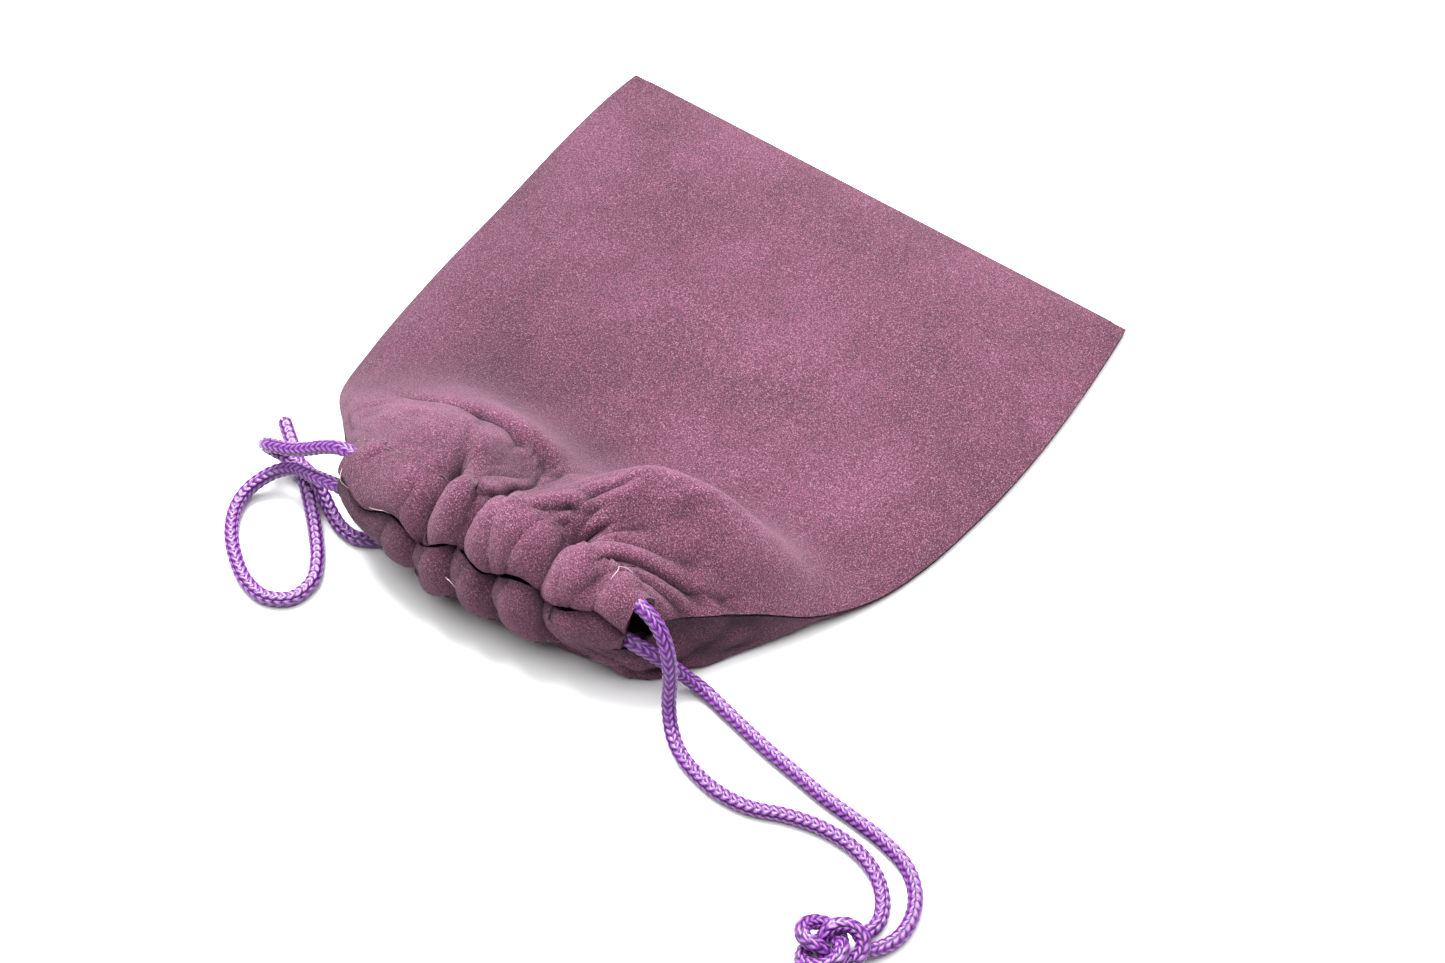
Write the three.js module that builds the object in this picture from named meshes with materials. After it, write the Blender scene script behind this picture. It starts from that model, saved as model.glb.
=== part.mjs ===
// Drawstring dice bag lying on a table, in millimetres.
// +X is the bag's right, +Y runs from the mouth to the bottom seam, +Z is up and the table is z = 0.
import * as THREE from 'three';

// Bag
const BAG_WIDTH = 127;
const BOTTOM_SEAM_Y = 67;
const FABRIC_THICKNESS = 1.6;
const SEAM_GAP = 0.3;
const POCKET_RISE = 6.3;
const SHOULDER_Y = -37;
const SHOULDER_HALF_WIDTH = 59;
const CORNER_ROUNDING = 1.5;
const PANEL_COLUMNS = 26;
const PANEL_ROWS = 40;
const NORMAL_STEP = 0.002;

// Gathered mouth
const MOUTH_CENTRE_X = -3.5;
const MOUTH_HALF_WIDTH = 26;
const NECK_HALF_WIDTH = 30;
const DRIFT_START_Y = -13;
const DRIFT_END_Y = -53;
const CLOSE_TRAVEL = 8;
const CASING_CLEARANCE = 0.3;
const NECK_EDGE_CLEARANCE = 1.2;
const CASING_WALL = 0.8;
const TUNNEL_WIDTH = 7.4;
const TUNNEL_HEIGHT = 3.8;
const FRONT_TUNNEL = { y: -60, z: 23.8 };
const BACK_TUNNEL = { y: -62.5, z: 14 };

// Cord
const CORD_DIAMETER = 3;
const CORD_SIDES = 8;
const LANE_OFFSET = 1.75;
const NODE_GAP = 0.3;
const BIGHT_RADIUS = 4.9;
const BIGHT_LEAD = 0.4;
const BIGHT_TURNS = 6;
const ON_TABLE = 1.55;
const KNOT_CENTRE = new THREE.Vector3(92.5, -87.5, 4.7);
const KNOT_RADII = new THREE.Vector3(6.6, 5.2, 4.6);
const KNOT_TURN = Math.PI / 5;

// Thread
const THREAD_DIAMETER = 0.7;
const THREAD_SIDES = 6;
const THREAD_INSET = 5;
const SIDE_THREAD_START_Y = BOTTOM_SEAM_Y - 9;
const SIDE_THREAD_END_Y = -23;
const SIDE_THREAD_STEP = 10;
const BOTTOM_THREAD_END_INSET = 6;
const CASING_THREAD_END_INSET = 1;
const CASING_THREAD_EDGE_INSET = 1.5;

const halfBag = BAG_WIDTH / 2;
const casingWidth = TUNNEL_WIDTH + 2 * CASING_WALL;
const casingHeight = TUNNEL_HEIGHT + 2 * CASING_WALL;
const backMid = FABRIC_THICKNESS / 2;
const frontMid = FABRIC_THICKNESS + SEAM_GAP + backMid;
const frontEdgeY = FRONT_TUNNEL.y + casingWidth / 2 + NECK_EDGE_CLEARANCE;
const backEdgeY = BACK_TUNNEL.y + casingWidth / 2 + NECK_EDGE_CLEARANCE;
const innerGap = CLOSE_TRAVEL + CASING_CLEARANCE;
const leftMouthEnd = MOUTH_CENTRE_X - MOUTH_HALF_WIDTH;
const rightMouthEnd = MOUTH_CENTRE_X + MOUTH_HALF_WIDTH;

const velour = { color: 0x8f5474, roughness: 0.95, metalness: 0 };
const cordFinish = { color: 0x8a3fb4, roughness: 0.45, metalness: 0 };
const threadFinish = { color: 0x7a4864, roughness: 0.7, metalness: 0 };

const bag = new THREE.Group();

function addPiece(name, geometry, finish) {
  const mesh = new THREE.Mesh(geometry, new THREE.MeshStandardMaterial(finish));
  mesh.name = name;
  bag.add(mesh);
}

function smoothCurve(points) {
  const vectors = points.map(([x, y, z]) => new THREE.Vector3(x, y, z));
  return new THREE.CatmullRomCurve3(vectors, false, 'centripetal');
}

function circleShape(diameter, sides) {
  const shape = new THREE.Shape();
  for (let i = 0; i < sides; i += 1) {
    const angle = (2 * Math.PI * (i + 0.5)) / sides;
    const x = (diameter / 2) * Math.cos(angle);
    const y = (diameter / 2) * Math.sin(angle);
    if (i === 0) shape.moveTo(x, y);
    else shape.lineTo(x, y);
  }
  shape.closePath();
  return shape;
}

function tube(curve, diameter, sides, stepLength) {
  const steps = Math.max(2, Math.round(curve.getLength() / stepLength));
  return new THREE.ExtrudeGeometry(circleShape(diameter, sides), {
    steps,
    curveSegments: 1,
    bevelEnabled: false,
    extrudePath: curve,
  });
}

function cordAlong(points) {
  return tube(smoothCurve(points), CORD_DIAMETER, CORD_SIDES, 2 * CORD_DIAMETER);
}

// ---- Panels: two shells that share the side and bottom seams ----

// A profile is a smooth line of (y, z) points from the bottom seam to the mouth edge.
function profileLine(rows) {
  return smoothCurve(rows.map(([y, z]) => [0, y, z]));
}

// Half the bag's width at a few places, from the bottom seam to the neck.
const outline = smoothCurve([
  [halfBag - CORNER_ROUNDING, BOTTOM_SEAM_Y, 0],
  [halfBag - 0.4, BOTTOM_SEAM_Y - 5, 0],
  [halfBag - 0.3, BOTTOM_SEAM_Y - 20, 0],
  [halfBag - 0.3, 17, 0],
  [halfBag - 0.9, -13, 0],
  [SHOULDER_HALF_WIDTH, SHOULDER_Y, 0],
  [46, -45, 0],
  [NECK_HALF_WIDTH + 4, -51, 0],
  [NECK_HALF_WIDTH, -59, 0],
]);
const outlinePoints = outline.getSpacedPoints(200);

function halfWidthAt(y) {
  const next = outlinePoints.findIndex((point) => point.y <= y);
  if (next === 0) return outlinePoints[0].x;
  if (next < 0) return outlinePoints[outlinePoints.length - 1].x;
  const upper = outlinePoints[next - 1];
  const lower = outlinePoints[next];
  return THREE.MathUtils.mapLinear(y, upper.y, lower.y, upper.x, lower.x);
}

// The neck drifts sideways to the mouth, which isn't quite central.
function centreAt(y) {
  return MOUTH_CENTRE_X * THREE.MathUtils.smoothstep(-y, -DRIFT_START_Y, -DRIFT_END_Y);
}

// Point of a panel's middle surface: u runs from -1 (left seam) to 1 (right seam), v from 0 to 1.
function panelSurface(middle, seam) {
  return (u, v) => {
    const centrePoint = middle.getPointAt(v);
    const seamPoint = seam.getPointAt(v);
    const towardsSeam = u ** 4;
    const y = THREE.MathUtils.lerp(centrePoint.y, seamPoint.y, towardsSeam);
    const z = THREE.MathUtils.lerp(centrePoint.z, seamPoint.z, towardsSeam);
    return new THREE.Vector3(centreAt(y) + halfWidthAt(y) * u, y, z);
  };
}

function surfaceNormal(surface, u, v) {
  const left = surface(Math.max(u - NORMAL_STEP, -1), v);
  const right = surface(Math.min(u + NORMAL_STEP, 1), v);
  const below = surface(u, Math.max(v - NORMAL_STEP, 0));
  const above = surface(u, Math.min(v + NORMAL_STEP, 1));
  const across = right.sub(left);
  const along = above.sub(below);
  return along.cross(across).normalize();
}

// A closed sheet of even thickness around a middle surface.
function sheet(surface, columns, rows) {
  const positions = [];
  const index = [];
  const stride = columns + 1;
  const layer = stride * (rows + 1);
  for (const side of [1, -1]) {
    for (let j = 0; j <= rows; j += 1) {
      for (let i = 0; i <= columns; i += 1) {
        const u = Math.sin(((2 * i) / columns - 1) * (Math.PI / 2));
        const v = j / rows;
        const normal = surfaceNormal(surface, u, v);
        const point = surface(u, v).addScaledVector(normal, (side * FABRIC_THICKNESS) / 2);
        positions.push(point.x, point.y, point.z);
      }
    }
  }
  const quad = (a, b, c, d) => index.push(a, b, c, a, c, d);
  for (let j = 0; j < rows; j += 1) {
    for (let i = 0; i < columns; i += 1) {
      const a = j * stride + i;
      quad(a, a + stride, a + stride + 1, a + 1);
      quad(layer + a, layer + a + 1, layer + a + stride + 1, layer + a + stride);
    }
  }
  const rim = [];
  for (let i = 0; i < columns; i += 1) rim.push(i);
  for (let j = 0; j < rows; j += 1) rim.push(j * stride + columns);
  for (let i = columns; i > 0; i -= 1) rim.push(rows * stride + i);
  for (let j = rows; j > 0; j -= 1) rim.push(j * stride);
  rim.forEach((vertex, k) => {
    const next = rim[(k + 1) % rim.length];
    quad(vertex, next, layer + next, layer + vertex);
  });
  const geometry = new THREE.BufferGeometry();
  geometry.setAttribute('position', new THREE.Float32BufferAttribute(positions, 3));
  geometry.setIndex(index);
  geometry.computeVertexNormals();
  return geometry;
}

const frontMiddle = profileLine([
  [BOTTOM_SEAM_Y, frontMid],
  [59, frontMid + 0.6 * POCKET_RISE],
  [43, frontMid + POCKET_RISE],
  [-3, frontMid + POCKET_RISE],
  [-29, frontMid + POCKET_RISE + 1],
  [-38, 17.5],
  [-45, 22],
  [frontEdgeY, FRONT_TUNNEL.z - 0.6],
]);
const frontSeam = profileLine([
  [BOTTOM_SEAM_Y, frontMid],
  [59, frontMid],
  [43, frontMid],
  [-3, frontMid],
  [-29, frontMid],
  [SHOULDER_Y, 4],
  [-46, 11.5],
  [frontEdgeY, 19.6],
]);
const backMiddle = profileLine([
  [BOTTOM_SEAM_Y, backMid],
  [43, backMid],
  [-3, backMid],
  [-39, backMid],
  [-47, 2],
  [-53, 5.5],
  [backEdgeY, 12.5],
]);
const backSeam = profileLine([
  [BOTTOM_SEAM_Y, backMid],
  [43, backMid],
  [-3, backMid],
  [-31, backMid],
  [-36.5, 2.2],
  [-49, 9.5],
  [backEdgeY, 14.4],
]);

const frontSurface = panelSurface(frontMiddle, frontSeam);
const backSurface = panelSurface(backMiddle, backSeam);
addPiece('front_panel', sheet(frontSurface, PANEL_COLUMNS, PANEL_ROWS), velour);
addPiece('back_panel', sheet(backSurface, PANEL_COLUMNS, PANEL_ROWS), velour);

// ---- Casings: the hem tunnels, each made as a left and a right half of the mouth ----

function rectangle(path, width, height) {
  path.moveTo(-width / 2, -height / 2);
  path.lineTo(width / 2, -height / 2);
  path.lineTo(width / 2, height / 2);
  path.lineTo(-width / 2, height / 2);
  path.closePath();
  return path;
}

function casing(tunnel, side) {
  const section = rectangle(new THREE.Shape(), casingWidth, casingHeight);
  section.holes.push(rectangle(new THREE.Path(), TUNNEL_WIDTH, TUNNEL_HEIGHT));
  const length = MOUTH_HALF_WIDTH - innerGap;
  const geometry = new THREE.ExtrudeGeometry(section, { depth: length, bevelEnabled: false });
  geometry.rotateX(Math.PI / 2);
  geometry.rotateZ(Math.PI / 2);
  const start = side === 'left' ? leftMouthEnd : MOUTH_CENTRE_X + innerGap;
  geometry.translate(start, tunnel.y, tunnel.z);
  return geometry;
}

function casingThread(tunnel, side, outward) {
  const casingStart = side === 'left' ? leftMouthEnd : MOUTH_CENTRE_X + innerGap;
  const start = casingStart + CASING_THREAD_END_INSET;
  const end = casingStart + MOUTH_HALF_WIDTH - innerGap - CASING_THREAD_END_INSET;
  const y = tunnel.y + casingWidth / 2 - CASING_THREAD_EDGE_INSET;
  const z = tunnel.z + outward * (casingHeight / 2 + NODE_GAP + THREAD_DIAMETER / 2);
  const line = new THREE.LineCurve3(new THREE.Vector3(start, y, z), new THREE.Vector3(end, y, z));
  return tube(line, THREAD_DIAMETER, THREAD_SIDES, 6);
}

for (const side of ['left', 'right']) {
  addPiece(`front_casing_${side}`, casing(FRONT_TUNNEL, side), velour);
  addPiece(`back_casing_${side}`, casing(BACK_TUNNEL, side), velour);
  addPiece(`front_casing_thread_${side}`, casingThread(FRONT_TUNNEL, side, 1), threadFinish);
  addPiece(`back_casing_thread_${side}`, casingThread(BACK_TUNNEL, side, -1), threadFinish);
}

// ---- Seam threads: they run between the two panels, just inside the edge ----

const threadZ = FABRIC_THICKNESS + SEAM_GAP + THREAD_DIAMETER / 2;

function sideThread(sign) {
  const points = [];
  for (let y = SIDE_THREAD_START_Y; y >= SIDE_THREAD_END_Y; y -= SIDE_THREAD_STEP) {
    points.push([sign * (halfWidthAt(y) - THREAD_INSET), y, threadZ]);
  }
  return tube(smoothCurve(points), THREAD_DIAMETER, THREAD_SIDES, 8);
}

function bottomThread() {
  const y = BOTTOM_SEAM_Y - THREAD_INSET;
  const reach = halfBag - BOTTOM_THREAD_END_INSET;
  const line = smoothCurve([[-reach, y, threadZ], [0, y, threadZ], [reach, y, threadZ]]);
  return tube(line, THREAD_DIAMETER, THREAD_SIDES, 10);
}

addPiece('left_seam_thread', sideThread(-1), threadFinish);
addPiece('right_seam_thread', sideThread(1), threadFinish);
addPiece('bottom_seam_thread', bottomThread(), threadFinish);

// ---- Drawstrings ----
// Each cord runs once round the whole casing. The right one lies in the inner lane of both tunnels
// and leaves at the right end, the left one lies in the outer lane and leaves at the left end.

const innerFront = [FRONT_TUNNEL.y + LANE_OFFSET, FRONT_TUNNEL.z];
const outerFront = [FRONT_TUNNEL.y - LANE_OFFSET, FRONT_TUNNEL.z];
const innerBack = [BACK_TUNNEL.y + LANE_OFFSET, BACK_TUNNEL.z];
const outerBack = [BACK_TUNNEL.y - LANE_OFFSET, BACK_TUNNEL.z];

function laneRun(lane) {
  const [y, z] = lane;
  const start = new THREE.Vector3(leftMouthEnd, y, z);
  const end = new THREE.Vector3(rightMouthEnd, y, z);
  return tube(new THREE.LineCurve3(start, end), CORD_DIAMETER, CORD_SIDES, 12);
}

// The turn that joins the front lane to the back lane at one end of the mouth.
function bight(frontLane, backLane, endX, sign) {
  const start = endX + sign * NODE_GAP;
  const points = [[start, ...frontLane]];
  for (let i = 1; i < BIGHT_TURNS; i += 1) {
    const angle = (Math.PI * i) / BIGHT_TURNS;
    const share = (1 - Math.cos(angle)) / 2;
    const y = THREE.MathUtils.lerp(frontLane[0], backLane[0], share);
    const z = THREE.MathUtils.lerp(frontLane[1], backLane[1], share);
    points.push([start + sign * (BIGHT_LEAD + BIGHT_RADIUS * Math.sin(angle)), y, z]);
  }
  points.push([start, ...backLane]);
  return tube(smoothCurve(points), CORD_DIAMETER, CORD_SIDES, 2.5);
}

const rightExit = rightMouthEnd + NODE_GAP;
const leftExit = leftMouthEnd - NODE_GAP;

const rightFrontRoute = [
  [rightExit, ...innerFront], [27, -58.2, 23.8], [31, -58.4, 23.5], [35, -59.2, 21.4],
  [38, -60.6, 17], [39.5, -62.2, 11.5], [40.4, -64, 6.2], [42.6, -66.3, 2.8],
  [45.4, -68.4, 1.7], [49.4, -70.3, ON_TABLE], [56.9, -71.9, ON_TABLE], [63.8, -71.3, ON_TABLE],
  [70.5, -68.7, ON_TABLE], [77.5, -67.1, ON_TABLE], [84.9, -67.3, ON_TABLE], [90.9, -69.6, ON_TABLE],
  [94.9, -73.4, ON_TABLE], [96.6, -77.4, 1.6], [96.2, -80.3, 1.9],
];
const rightBackRoute = [
  [rightExit, ...innerBack], [27, -60.8, 14], [30.5, -60.5, 13.6], [33.8, -59.3, 11.2],
  [36.3, -57.6, 7.6], [38.9, -56.1, 4], [42.6, -55.5, 1.9], [49.9, -57, ON_TABLE],
  [58.4, -58.9, ON_TABLE], [66.7, -60.3, ON_TABLE], [74, -61.5, ON_TABLE], [81.1, -62.1, ON_TABLE],
  [88.3, -63, ON_TABLE], [94.6, -65, ON_TABLE], [98.8, -68.6, ON_TABLE], [101, -73.2, ON_TABLE],
  [101.2, -78.1, 1.7], [99.4, -82.3, 2.1],
];
const leftLoopRoute = [
  [leftExit, ...outerBack], [-34, -64.3, 14], [-38.3, -64.3, 13.8], [-42.6, -64.2, 12.5],
  [-46.8, -63.6, 10.4], [-50.8, -63.1, 8.5], [-54.4, -64.2, 6.4], [-57.2, -66.8, 4.2],
  [-58.7, -70.2, 2.4], [-58.1, -74.3, 1.6], [-55.2, -78.9, ON_TABLE], [-50.7, -83, ON_TABLE],
  [-45.2, -86.2, ON_TABLE], [-39.8, -86.9, ON_TABLE], [-35.4, -84.1, ON_TABLE], [-34.6, -79, ON_TABLE],
  [-37.2, -74.2, ON_TABLE], [-41.3, -69.8, ON_TABLE], [-45.7, -65.7, ON_TABLE], [-50.2, -61.9, ON_TABLE],
  [-55, -58.3, ON_TABLE], [-59.9, -54.9, ON_TABLE], [-65, -51.3, ON_TABLE],
];
const leftShortRoute = [
  [leftExit, ...outerFront], [-34, -61.8, 23.8], [-38.3, -61.8, 23.3], [-42.5, -62.1, 21],
  [-46.6, -62.8, 18], [-50.5, -63.3, 15.3], [-54.4, -63.5, 13.4], [-57.7, -63.2, 11.3],
  [-59.3, -61.9, 8.2], [-57.8, -60.4, 5.3], [-54.4, -60, 4.8], [-51, -60.4, 4.9],
  [-47.8, -61.3, 4.6], [-44.7, -62.7, 3], [-41.5, -64.3, 1.8], [-38, -65.7, ON_TABLE],
  [-34.2, -65.9, ON_TABLE], [-30.6, -63.9, ON_TABLE], [-27.6, -60.8, ON_TABLE],
];

addPiece('right_cord_front_run', laneRun(innerFront), cordFinish);
addPiece('right_cord_back_run', laneRun(innerBack), cordFinish);
addPiece('right_cord_bight', bight(innerFront, innerBack, leftMouthEnd, -1), cordFinish);
addPiece('right_strand_front', cordAlong(rightFrontRoute), cordFinish);
addPiece('right_strand_back', cordAlong(rightBackRoute), cordFinish);

function knot() {
  const geometry = new THREE.SphereGeometry(1, 16, 10);
  geometry.scale(KNOT_RADII.x, KNOT_RADII.y, KNOT_RADII.z);
  geometry.rotateZ(KNOT_TURN);
  geometry.translate(KNOT_CENTRE.x, KNOT_CENTRE.y, KNOT_CENTRE.z);
  return geometry;
}

addPiece('right_knot', knot(), cordFinish);
addPiece('right_tail_front', cordAlong([
  [96.4, -93.4, 2.3], [98.4, -97, ON_TABLE], [100, -101, ON_TABLE], [100.6, -106, ON_TABLE],
]), cordFinish);
addPiece('right_tail_back', cordAlong([
  [90.6, -94.4, 2.3], [90.4, -98, ON_TABLE], [91.6, -102.5, ON_TABLE], [94, -107, ON_TABLE],
]), cordFinish);

addPiece('left_cord_front_run', laneRun(outerFront), cordFinish);
addPiece('left_cord_back_run', laneRun(outerBack), cordFinish);
addPiece('left_cord_bight', bight(outerFront, outerBack, rightMouthEnd, 1), cordFinish);
addPiece('left_strand_loop', cordAlong(leftLoopRoute), cordFinish);
addPiece('left_strand_short', cordAlong(leftShortRoute), cordFinish);

export default bag;
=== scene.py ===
import math

import bpy
import numpy as np
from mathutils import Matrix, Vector


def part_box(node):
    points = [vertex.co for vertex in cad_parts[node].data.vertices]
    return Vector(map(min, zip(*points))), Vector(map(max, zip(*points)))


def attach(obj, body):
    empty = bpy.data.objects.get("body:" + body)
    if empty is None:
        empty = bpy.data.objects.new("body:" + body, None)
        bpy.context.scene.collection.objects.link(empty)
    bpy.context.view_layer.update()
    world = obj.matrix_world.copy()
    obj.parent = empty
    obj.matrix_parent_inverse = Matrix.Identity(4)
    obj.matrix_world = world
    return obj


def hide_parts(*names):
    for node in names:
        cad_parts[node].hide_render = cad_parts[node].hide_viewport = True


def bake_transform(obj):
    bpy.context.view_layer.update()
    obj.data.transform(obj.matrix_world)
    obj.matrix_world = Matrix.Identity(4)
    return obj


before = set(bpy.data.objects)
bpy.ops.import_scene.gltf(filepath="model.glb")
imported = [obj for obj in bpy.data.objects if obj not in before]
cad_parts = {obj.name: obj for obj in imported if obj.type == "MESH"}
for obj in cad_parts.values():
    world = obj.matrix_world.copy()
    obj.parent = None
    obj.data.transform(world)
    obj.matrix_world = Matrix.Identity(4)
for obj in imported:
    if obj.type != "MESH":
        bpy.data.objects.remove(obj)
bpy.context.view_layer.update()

MM = 0.001

# Cord
CORD_DIAMETER = 3.0
ON_TABLE = 1.55
BRAID_SIDES = 44
BRAID_STEP = 0.24
STITCH_LENGTH = 1.6
STITCH_DEPTH = 0.42
STITCH_COLUMNS = 4
STITCH_SLANT = 0.85
END_TAPER = 0.9
KNOT_POINTS = 260
KNOT_LEAN = 36
KNOT_STRETCH = 1.22
KNOT_RISE = 1.9

# Cloth, as cut
CLOTH_WIDTH = 127.0
CLOTH_LENGTH = 150.0
BOTTOM_SEAM_Y = 67.0
CORD_ROW = 142.0
SLIT_ROW = 134.0
COLUMNS = 65
ROWS = 76
SIM_SCALE = 0.1
SIM_FRAMES = 30
VELOUR_THICKNESS = 1.2

MOUTH_CENTRE_X = -3.5


# ---------------------------------------------------------------- helpers

def spline_rows(rows, at):
    """Values at the given places on a smooth line through (place, value) rows."""
    places = np.array([row[0] for row in rows], float)
    values = np.array([row[1] for row in rows], float)
    if values.ndim == 1:
        values = values[:, None]
    at = np.clip(np.atleast_1d(np.asarray(at, float)), places[0], places[-1])
    i = np.clip(np.searchsorted(places, at, side="right") - 1, 0, len(places) - 2)
    width = (places[i + 1] - places[i])[:, None]
    q = (at - places[i])[:, None] / width
    slope = np.gradient(values, places, axis=0)
    start, end = values[i], values[i + 1]
    return (
        (2 * q**3 - 3 * q**2 + 1) * start
        + (q**3 - 2 * q**2 + q) * slope[i] * width
        + (3 * q**2 - 2 * q**3) * end
        + (q**3 - q**2) * slope[i + 1] * width
    )


def smooth_path(points, step):
    """A centripetal Catmull-Rom line through the points, at an even step."""
    points = np.array(points, float)
    ends = np.vstack([2 * points[0] - points[1], points, 2 * points[-1] - points[-2]])
    line = []
    for p0, p1, p2, p3 in zip(ends, ends[1:], ends[2:], ends[3:]):
        d0, d1, d2 = (max(np.linalg.norm(b - a) ** 0.5, 1e-4) for a, b in ((p0, p1), (p1, p2), (p2, p3)))
        t1 = ((p1 - p0) / d0 - (p2 - p0) / (d0 + d1) + (p2 - p1) / d1) * d1
        t2 = ((p2 - p1) / d1 - (p3 - p1) / (d1 + d2) + (p3 - p2) / d2) * d1
        for t in np.linspace(0, 1, 24, endpoint=False):
            line.append(p1 + t1 * t + (3 * (p2 - p1) - 2 * t1 - t2) * t**2 + (2 * (p1 - p2) + t1 + t2) * t**3)
    line.append(points[-1])
    line = np.array(line)
    run = np.r_[0, np.cumsum(np.linalg.norm(np.diff(line, axis=0), axis=1))]
    count = max(4, int(round(run[-1] / step)) + 1)
    at = np.linspace(0, run[-1], count)
    return np.stack([np.interp(at, run, line[:, k]) for k in range(3)], axis=1), run[-1]


def moving_frames(line, closed=False):
    """Tangent and two cross directions at each point, turned as little as possible along the line."""
    tangent = np.gradient(line, axis=0)
    if closed:
        tangent = np.roll(line, -1, axis=0) - np.roll(line, 1, axis=0)
    tangent /= np.linalg.norm(tangent, axis=1)[:, None]
    side = np.cross(tangent[0], (0.0, 0.0, 1.0))
    if np.linalg.norm(side) < 0.1:
        side = np.array((1.0, 0.0, 0.0))
    sides = []
    for t in tangent:
        side = side - t * (side @ t)
        side /= np.linalg.norm(side)
        sides.append(side)
    sides = np.array(sides)
    if closed:
        before = sides[-1] - tangent[0] * (sides[-1] @ tangent[0])
        before /= np.linalg.norm(before)
        twist = math.atan2(np.cross(before, sides[0]) @ tangent[0], before @ sides[0])
        share = np.arange(len(line)) / len(line) * twist
        other = np.cross(tangent, sides)
        sides = sides * np.cos(share)[:, None] + other * np.sin(share)[:, None]
    return tangent, sides, np.cross(tangent, sides)


def mesh_object(name, vertices, faces, material, smooth=True):
    mesh = bpy.data.meshes.new(name)
    mesh.from_pydata((np.asarray(vertices) * MM).tolist(), [], faces)
    mesh.validate()
    mesh.update()
    for polygon in mesh.polygons:
        polygon.use_smooth = smooth
    mesh.materials.append(material)
    piece = bpy.data.objects.new(name, mesh)
    bpy.context.scene.collection.objects.link(piece)
    return piece


# ---------------------------------------------------------------- materials

def new_material(name, roughness):
    material = bpy.data.materials.new(name)
    material.use_nodes = True
    nodes = material.node_tree.nodes
    shader = nodes["Principled BSDF"]
    shader.inputs["Roughness"].default_value = roughness
    return material, nodes, material.node_tree.links, shader


def ramp(nodes, links, source, stops):
    node = nodes.new("ShaderNodeValToRGB")
    elements = node.color_ramp.elements
    while len(elements) < len(stops):
        elements.new(0.5)
    for element, (place, colour) in zip(elements, stops):
        element.position = place
        element.color = (*colour, 1)
    links.new(source, node.inputs["Fac"])
    return node.outputs["Color"]


def noise(nodes, links, scale, detail=2.0, roughness=0.5):
    place = nodes.new("ShaderNodeTexCoord")
    node = nodes.new("ShaderNodeTexNoise")
    node.inputs["Scale"].default_value = scale
    node.inputs["Detail"].default_value = detail
    node.inputs["Roughness"].default_value = roughness
    links.new(place.outputs["Object"], node.inputs["Vector"])
    return node.outputs["Fac"]


def mix_colour(nodes, links, kind, share, first, second):
    node = nodes.new("ShaderNodeMix")
    node.data_type = "RGBA"
    node.blend_type = kind
    if isinstance(share, float):
        node.inputs["Factor"].default_value = share
    else:
        links.new(share, node.inputs["Factor"])
    for socket, value in ((node.inputs[6], first), (node.inputs[7], second)):
        if isinstance(value, tuple):
            socket.default_value = (*value, 1)
        else:
            links.new(value, socket)
    return node.outputs[2]


def bump(nodes, links, shader, height, distance, strength):
    node = nodes.new("ShaderNodeBump")
    node.inputs["Distance"].default_value = distance
    node.inputs["Strength"].default_value = strength
    links.new(height, node.inputs["Height"])
    links.new(node.outputs["Normal"], shader.inputs["Normal"])


def velour_material():
    """Short plum pile: fibre tips over mottled patches, with painted shade to the left and in folds and a
    painted highlight on crests.
    """
    material, nodes, links, shader = new_material("velour", 0.92)
    patches = noise(nodes, links, 38, 5, 0.62)
    grain = noise(nodes, links, 2900, 4, 0.75)
    base = ramp(nodes, links, patches, [
        (0.34, (0.060, 0.0190, 0.0355)),
        (0.50, (0.084, 0.0268, 0.0498)),
        (0.66, (0.108, 0.0365, 0.0655)),
    ])
    tips = ramp(nodes, links, grain, [
        (0.40, (0.12, 0.09, 0.11)),
        (0.50, (0.62, 0.55, 0.58)),
        (0.60, (1.35, 1.20, 1.25)),
    ])
    colour = mix_colour(nodes, links, "MULTIPLY", 0.78, base, tips)
    sparkle = ramp(nodes, links, noise(nodes, links, 3900, 2, 0.6), [
        (0.56, (0.0, 0.0, 0.0)),
        (0.64, (0.20, 0.115, 0.150)),
    ])
    colour = mix_colour(nodes, links, "ADD", 0.7, colour, sparkle)
    # Painted shade: the colour darkens towards the bag's left side, along a slant across it.
    across = nodes.new("ShaderNodeVectorMath")
    across.operation = "DOT_PRODUCT"
    across.inputs[1].default_value = (1.0, 0.5, 0.0)
    place = nodes.new("ShaderNodeTexCoord")
    links.new(place.outputs["Object"], across.inputs[0])
    left_shade_reach = nodes.new("ShaderNodeMapRange")
    left_shade_reach.inputs["From Min"].default_value = -0.070
    left_shade_reach.inputs["From Max"].default_value = 0.010
    links.new(across.outputs["Value"], left_shade_reach.inputs["Value"])
    painted_left_shade = ramp(nodes, links, left_shade_reach.outputs["Result"], [
        (0.0, (0.72, 0.73, 0.74)),
        (1.0, (1.0, 1.0, 1.0)),
    ])
    colour = mix_colour(nodes, links, "MULTIPLY", 1.0, colour, painted_left_shade)
    # Painted shade deep in folds and a painted highlight on crests, from the fold depth kept on the cloth.
    fold = nodes.new("ShaderNodeAttribute")
    fold.attribute_name = "fold"
    painted_fold_shade = ramp(nodes, links, fold.outputs["Fac"], [
        (0.0, (1.35, 1.33, 1.34)),
        (0.5, (1.0, 1.0, 1.0)),
        (1.0, (0.16, 0.14, 0.16)),
    ])
    links.new(mix_colour(nodes, links, "MULTIPLY", 1.0, colour, painted_fold_shade), shader.inputs["Base Color"])
    shader.inputs["Sheen Weight"].default_value = 0.16
    shader.inputs["Sheen Roughness"].default_value = 0.5
    shader.inputs["Sheen Tint"].default_value = (0.95, 0.62, 0.80, 1)
    shader.inputs["Specular IOR Level"].default_value = 0.15
    bump(nodes, links, shader, grain, 0.0005, 0.8)
    return material


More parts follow.
